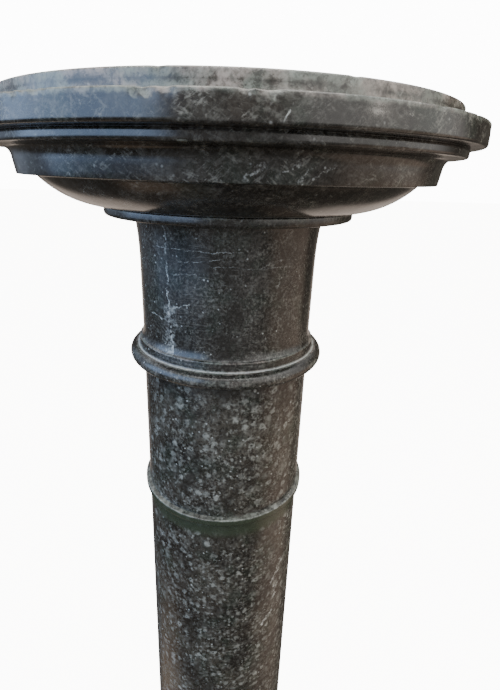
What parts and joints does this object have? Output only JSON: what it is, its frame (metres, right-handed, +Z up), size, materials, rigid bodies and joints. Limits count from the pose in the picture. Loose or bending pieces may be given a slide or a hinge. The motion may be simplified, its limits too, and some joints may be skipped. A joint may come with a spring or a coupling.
{
  "type": "marble column pedestal",
  "caption": "Turned pedestal column of dark green marble, with a moulded round top, a ringed shaft and a moulded round base.",
  "frame": {"origin": "centre of the base's underside", "axes": "+Z up along the column's turning axis"},
  "size_m": [0.3348, 0.3348, 1.05],
  "materials": {
    "slab_marble": "polished",
    "neck_marble": "polished",
    "drum_marble": "polished",
    "shaft_marble": "polished",
    "base_marble": "polished"
  },
  "bodies": {
    "root": {"capital": "slab_marble", "neck_drum": "neck_marble", "upper_drum": "drum_marble", "lower_shaft": "shaft_marble", "base": "base_marble"}
  },
  "joints": []
}
